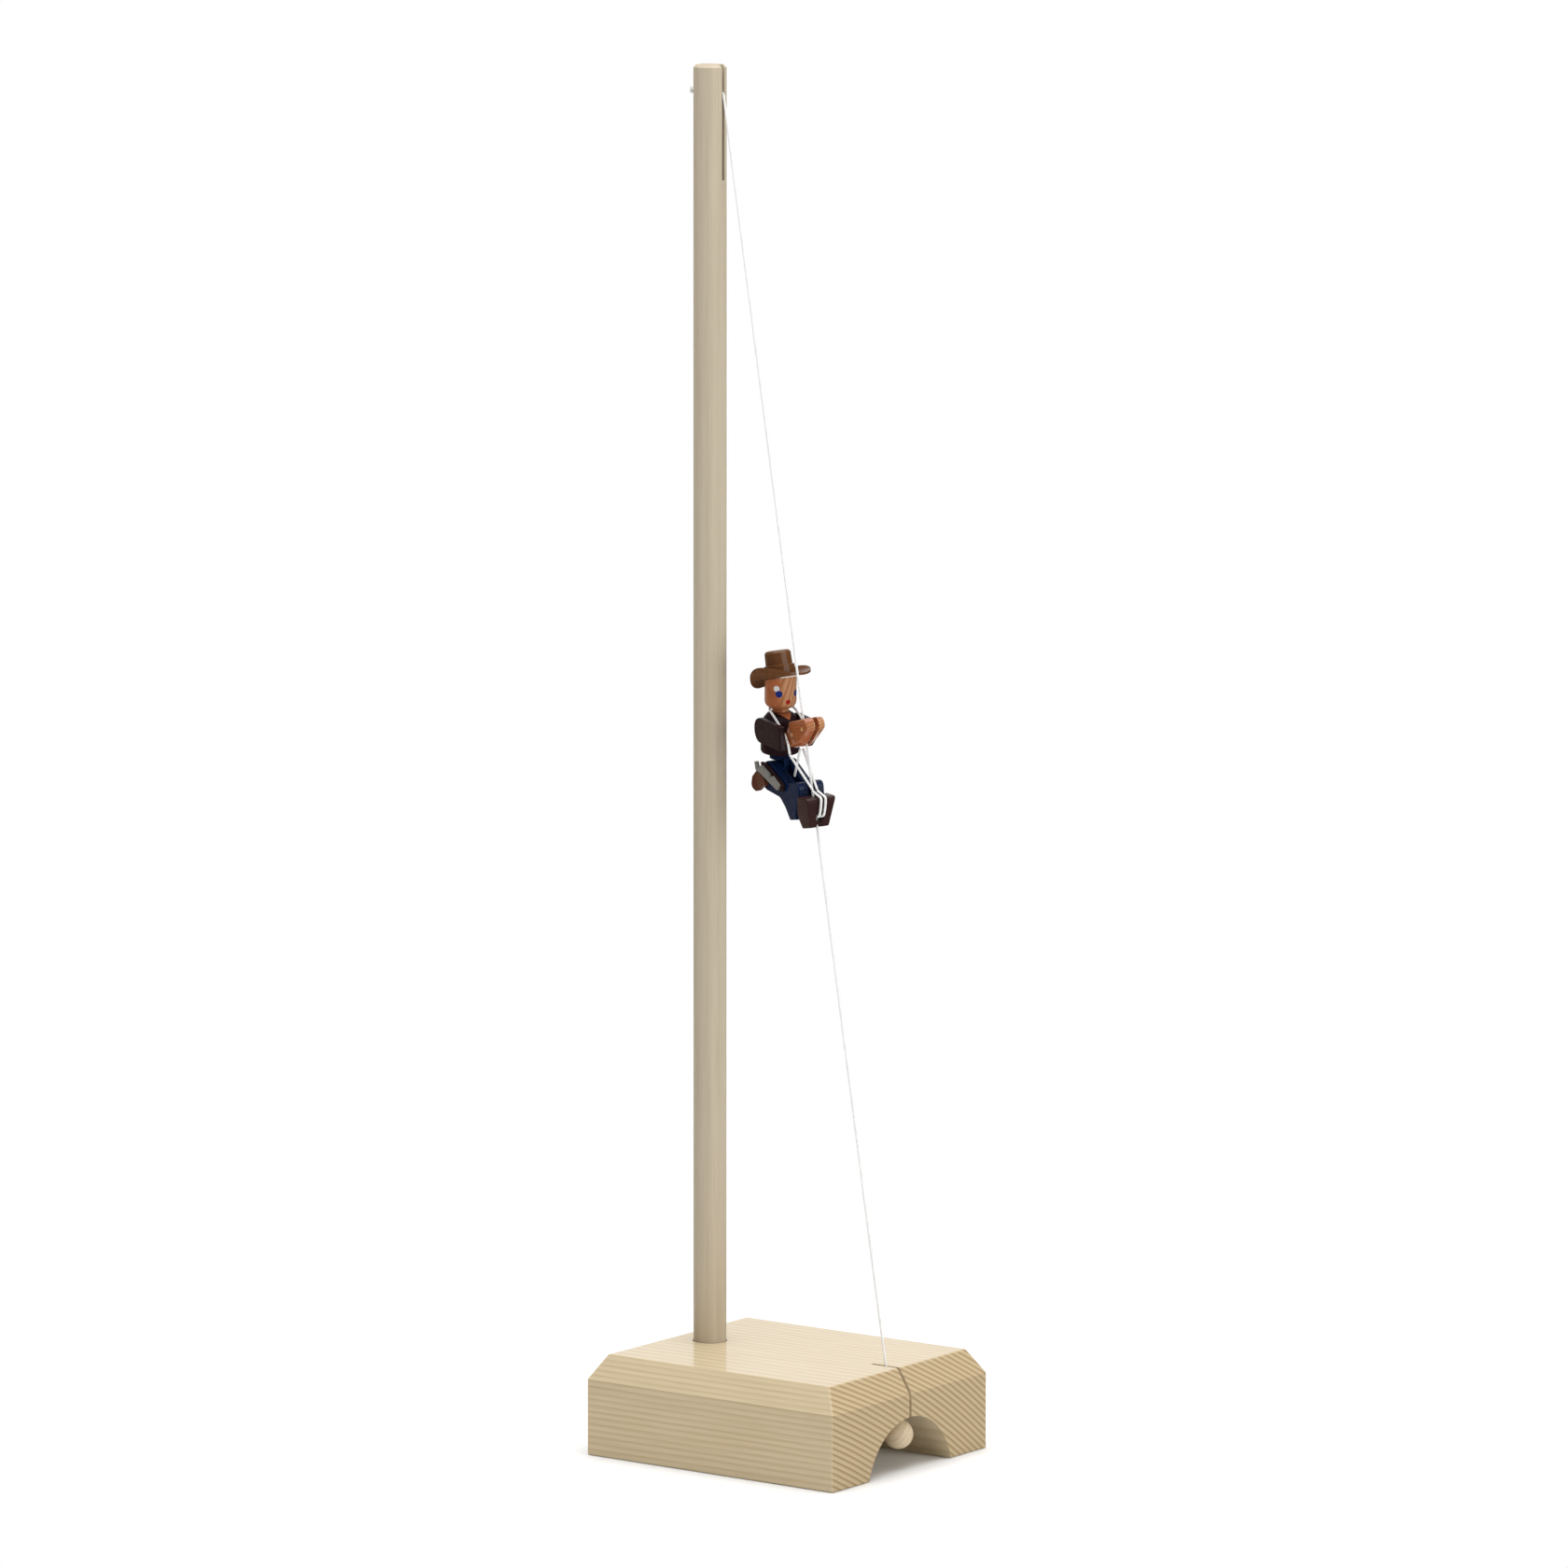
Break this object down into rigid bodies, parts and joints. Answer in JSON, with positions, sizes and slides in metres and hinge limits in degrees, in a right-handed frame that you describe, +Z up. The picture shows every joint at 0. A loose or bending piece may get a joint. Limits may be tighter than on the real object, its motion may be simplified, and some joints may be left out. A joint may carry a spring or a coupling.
{
  "type": "climbing cowboy toy on a string",
  "caption": "Wooden cowboy figure that climbs a taut string between a dowel pole and a sawn base block, with a pull ball under the block.",
  "frame": {"origin": "middle of the base block's foot print, on the table", "axes": "+Z up along the pole, +X towards the end of the block where the string enters the saw cut"},
  "size_m": [0.11, 0.096, 0.5035],
  "materials": {
    "lacquered_pine": "clear gloss lacquer, grain along the block",
    "beech_dowel": "bare sanded dowel",
    "ball_wood": "bare turned ball",
    "hat_lacquer": "brown gloss lacquer",
    "skin_wood": "orange-tan varnish over grain",
    "dowel_pin": "varnished pin ends",
    "shirt_lacquer": "very dark aubergine lacquer",
    "trouser_lacquer": "navy gloss lacquer",
    "boot_lacquer": "dark red-brown gloss lacquer",
    "holster_paint": "dark brown paint",
    "grip_paint": "red-brown paint",
    "silver_paint": "silver-grey paint, satin",
    "white_cord": "matt white braided cord",
    "white_elastic": "matt white covered elastic"
  },
  "bodies": {
    "stand": {"base_block": "lacquered_pine", "pole": "beech_dowel", "string_anchor": "white_cord"},
    "string": {"climbing_string": "white_cord"},
    "ball": {"pull_string": "white_cord", "pull_ball": "ball_wood"},
    "grip": {"rear_hand_pin": "dowel_pin"},
    "upper_body": {"torso": "shirt_lacquer", "head": "skin_wood", "hat_brim": "hat_lacquer", "hat_crown": "hat_lacquer", "waist": "trouser_lacquer", "right_sleeve": "shirt_lacquer", "left_sleeve": "shirt_lacquer", "right_hand": "skin_wood", "left_hand": "skin_wood", "wrist_dowel": "dowel_pin", "front_hand_pin": "dowel_pin", "neck_elastic": "white_elastic", "elastic_tail": "white_elastic", "right_strand": "white_elastic", "left_strand": "white_elastic"},
    "legs": {"right_leg": "trouser_lacquer", "left_leg": "trouser_lacquer", "hip_pin": "dowel_pin", "boots": "boot_lacquer", "boot_elastic": "white_elastic", "holster": "holster_paint", "revolver": "silver_paint", "revolver_grip": "grip_paint"}
  },
  "joints": [
    {"name": "swivel", "type": "hinge", "parent": "stand", "child": "string", "pos_m": [0.00984, 0, 0.2503], "axis": [-0.1581, 0, 0.9874], "continuous": true},
    {"name": "climb", "type": "slide", "parent": "string", "child": "grip", "axis": [-0.1581, 0, 0.9874], "range_m": [-0.185, 0.025]},
    {"name": "torso_tilt", "type": "hinge", "parent": "grip", "child": "upper_body", "pos_m": [0.00482, 0.00137, 0.26408], "axis": [0.4373, 0.8966, 0.07], "range_deg": [-11.6, 0]},
    {"name": "leg_swing", "type": "hinge", "parent": "upper_body", "child": "legs", "pos_m": [-0.00983, 0.00988, 0.24664], "axis": [0.4373, 0.8966, 0.07], "range_deg": [0, 22], "deforming": ["right_strand", "left_strand"]},
    {"name": "ball_pull", "type": "slide", "parent": "stand", "child": "ball", "axis": [0.2417, 0, -0.9703], "range_m": [0, 0.004], "stiffness_N_per_m": 20, "springref_m": -0.0045}
  ],
  "couplings": [
    {"joint": "leg_swing", "follows": "ball_pull", "rad_per_m": 95.9},
    {"joint": "torso_tilt", "follows": "ball_pull", "rad_per_m": -49.68}
  ]
}
